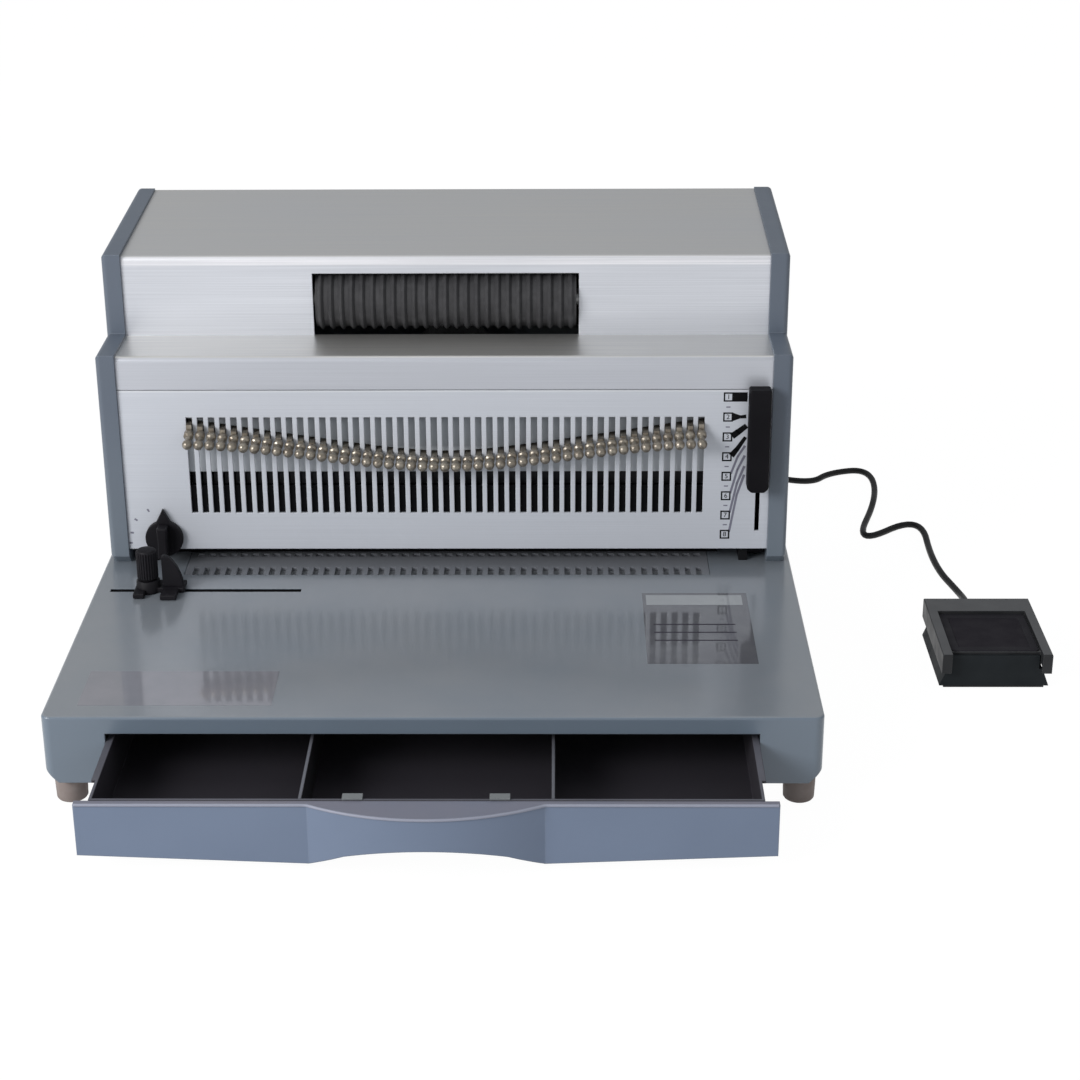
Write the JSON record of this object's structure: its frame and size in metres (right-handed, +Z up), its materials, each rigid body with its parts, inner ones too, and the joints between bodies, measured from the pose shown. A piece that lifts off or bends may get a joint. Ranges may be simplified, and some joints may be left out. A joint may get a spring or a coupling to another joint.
{
  "type": "electric coil binding machine",
  "caption": "Desk punch and coil inserter with a slotted head, ribbed feed roller, size lever, margin dial, open drawer and a corded foot pedal.",
  "frame": {"origin": "on the table plane, below the middle of the slotted panel's front face", "axes": "+X to the right seen from the front, +Y to the back of the machine, +Z up"},
  "size_m": [0.5435, 0.5663, 0.2339],
  "materials": {
    "base_paint": "satin",
    "foot_rubber": "matte",
    "drawer_paint": "satin",
    "drawer_lining": "matte",
    "cheek_paint": "satin",
    "head_metal": "brushed",
    "rear_paint": "satin",
    "steel": "satin",
    "black_steel": "satin",
    "bearing_brass": "polished",
    "motor_paint": "satin",
    "black_rubber": "matte",
    "black_plastic": "matte",
    "clip_plastic": "satin",
    "pedal_plastic": "satin"
  },
  "bodies": {
    "housing": {"base_cover": "base_paint", "base_rails": "base_paint", "drawer_runners": "base_paint", "chassis_floor": "base_paint", "rubber_feet": "foot_rubber", "cheek_right": "cheek_paint", "cheek_left": "cheek_paint", "head_cover": "head_metal", "slotted_panel": "head_metal", "rear_cover": "rear_paint", "side_frames": "steel", "die_strip": "steel", "die_bed": "steel", "guide_block": "black_steel", "guide_back_plate": "black_steel", "guide_columns": "steel", "shaft_bearings": "bearing_brass", "punch_gearmotor": "motor_paint", "gearmotor_bracket": "steel", "roller_rail": "steel", "roller_bracket_left": "steel", "roller_bracket_right": "steel", "roller_motor": "motor_paint", "drive_belt": "black_rubber", "lever_rail": "steel", "backstop_guides": "steel", "pedal_base": "pedal_plastic", "pedal_hinge_pin": "steel", "pedal_sole_pad": "black_rubber", "pedal_switch": "black_plastic", "pedal_spring": "steel", "machine_gland": "black_rubber", "pedal_gland": "black_rubber", "cable_from_machine": "black_rubber", "cable_coil": "black_rubber", "cable_to_pedal": "black_rubber", "mains_inlet": "black_plastic", "rocker_frame": "black_plastic"},
    "drawer": {"drawer_tray": "drawer_lining", "drawer_dividers": "drawer_lining", "drawer_front": "drawer_paint", "drawer_clips": "clip_plastic"},
    "punch_gang": {"press_beam": "steel", "punch_pins": "steel"},
    "puller_row": {"pin_pullers": "bearing_brass"},
    "press_drive": {"press_shaft": "steel"},
    "coil_roller": {"roller_rubber": "black_rubber", "roller_shaft": "steel"},
    "roller_drive": {"roller_motor_shaft": "steel"},
    "size_lever": {"lever_grip": "black_plastic", "lever_slider": "black_plastic"},
    "margin_dial": {"margin_knob": "black_plastic", "knob_shaft": "steel"},
    "paper_stop": {"backstop": "black_steel"},
    "side_guide": {"side_guide_body": "black_plastic", "guide_clamp_nut": "steel"},
    "clamp_screw": {"guide_thumb_screw": "black_plastic"},
    "pedal_top": {"pedal_lid": "pedal_plastic", "pedal_pad": "black_rubber"},
    "mains_rocker": {"rocker_button": "black_plastic"}
  },
  "joints": [
    {"name": "drawer_slide", "type": "slide", "parent": "housing", "child": "drawer", "axis": [0, 1, 0], "range_m": [-0.11, 0.059]},
    {"name": "press_turn", "type": "hinge", "parent": "housing", "child": "press_drive", "pos_m": [0, 0.048, 0.127], "axis": [1, 0, 0], "range_deg": [0, 180]},
    {"name": "punch_stroke", "type": "slide", "parent": "housing", "child": "punch_gang", "axis": [0, 0, 1], "range_m": [-0.014, 0]},
    {"name": "puller_draw", "type": "slide", "parent": "punch_gang", "child": "puller_row", "axis": [0, -1, 0], "range_m": [0, 0.005]},
    {"name": "roller_turn", "type": "hinge", "parent": "housing", "child": "coil_roller", "pos_m": [0, 0.0515, 0.199], "axis": [1, 0, 0], "continuous": true},
    {"name": "roller_motor_turn", "type": "hinge", "parent": "housing", "child": "roller_drive", "pos_m": [0, 0.104, 0.182], "axis": [1, 0, 0], "continuous": true},
    {"name": "size_lever_slide", "type": "slide", "parent": "housing", "child": "size_lever", "axis": [0, 0, 1], "range_m": [-0.04, 0]},
    {"name": "margin_turn", "type": "hinge", "parent": "housing", "child": "margin_dial", "pos_m": [-0.1646, 0, 0.07], "axis": [0, -1, 0], "range_deg": [0, 100]},
    {"name": "paper_stop_slide", "type": "slide", "parent": "housing", "child": "paper_stop", "axis": [0, 1, 0], "range_m": [0, 0.0035]},
    {"name": "side_guide_slide", "type": "slide", "parent": "housing", "child": "side_guide", "axis": [1, 0, 0], "range_m": [-0.018, 0.075]},
    {"name": "clamp_screw_turn", "type": "hinge", "parent": "side_guide", "child": "clamp_screw", "pos_m": [-0.169, -0.038, 0.06], "axis": [0, 0, 1], "range_deg": [0, 180]},
    {"name": "pedal_press", "type": "hinge", "parent": "housing", "child": "pedal_top", "pos_m": [0.3125, 0.006, 0.0155], "axis": [1, 0, 0], "range_deg": [0, 3], "stiffness_Nm_per_rad": 1.5, "springref_deg": -2.86},
    {"name": "rocker_tilt", "type": "hinge", "parent": "housing", "child": "mains_rocker", "pos_m": [-0.1, 0.164, 0.08], "axis": [1, 0, 0], "range_deg": [0, 9]}
  ],
  "couplings": [
    {"joint": "press_turn", "follows": "punch_stroke", "rad_per_m": -224.4},
    {"joint": "roller_motor_turn", "follows": "roller_turn", "ratio": 1},
    {"joint": "margin_turn", "follows": "paper_stop_slide", "rad_per_m": 498.66}
  ]
}
